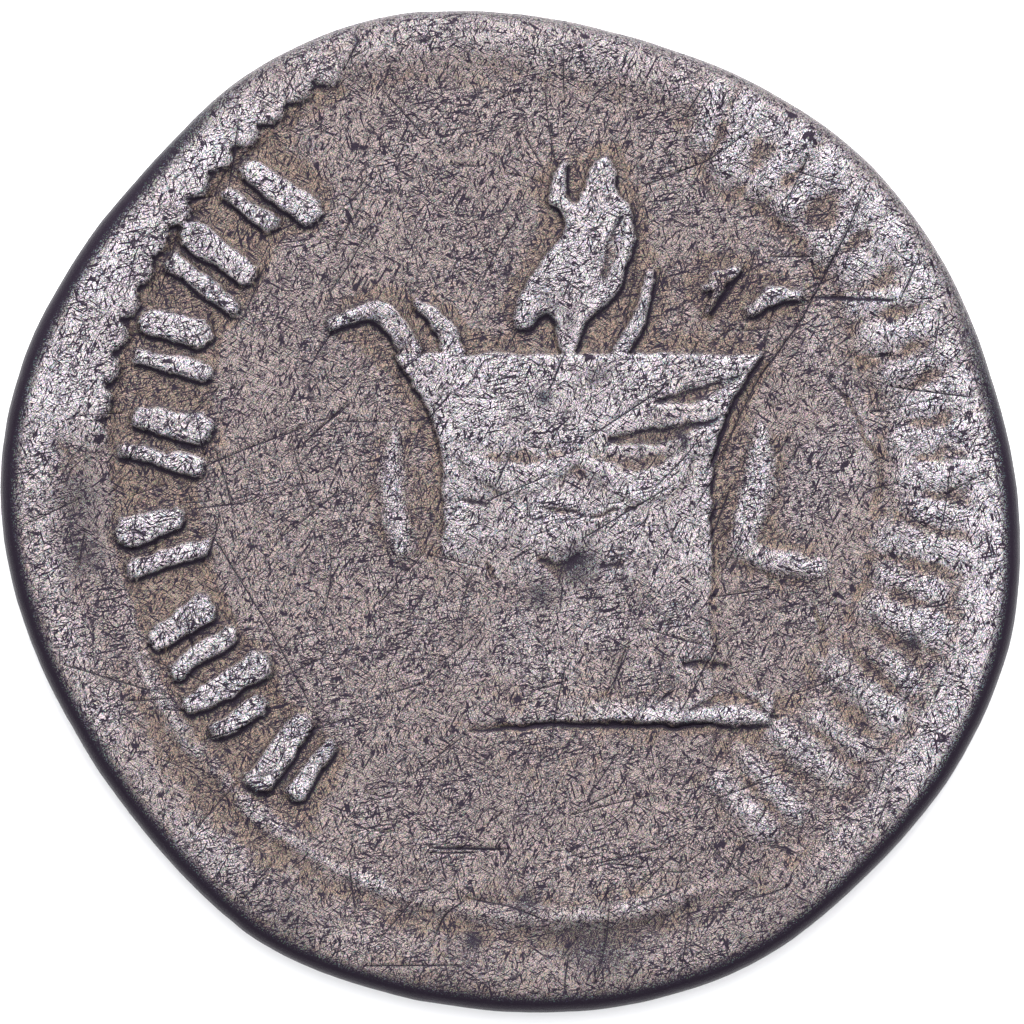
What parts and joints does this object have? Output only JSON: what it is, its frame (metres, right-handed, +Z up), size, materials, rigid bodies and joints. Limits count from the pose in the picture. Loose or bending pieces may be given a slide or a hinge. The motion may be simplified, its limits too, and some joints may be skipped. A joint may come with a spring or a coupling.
{
  "type": "denarius coin",
  "caption": "Worn struck silver coin, round but uneven, with a burning horned altar in relief on its upper face and a plain wreathed profile head on its lower face.",
  "frame": {"origin": "middle of the coin's width and depth, on the surface that it lies on", "axes": "+Z up through the coin, out of the altar side; +Y towards the flames, the top of the altar side; +X to the right of the altar side"},
  "size_m": [0.018, 0.0178, 0.0016],
  "materials": {
    "silver": "worn silver with grey-brown toning, dull sheen, brighter on the high places"
  },
  "bodies": {
    "root": {"coin": "silver"}
  },
  "joints": []
}
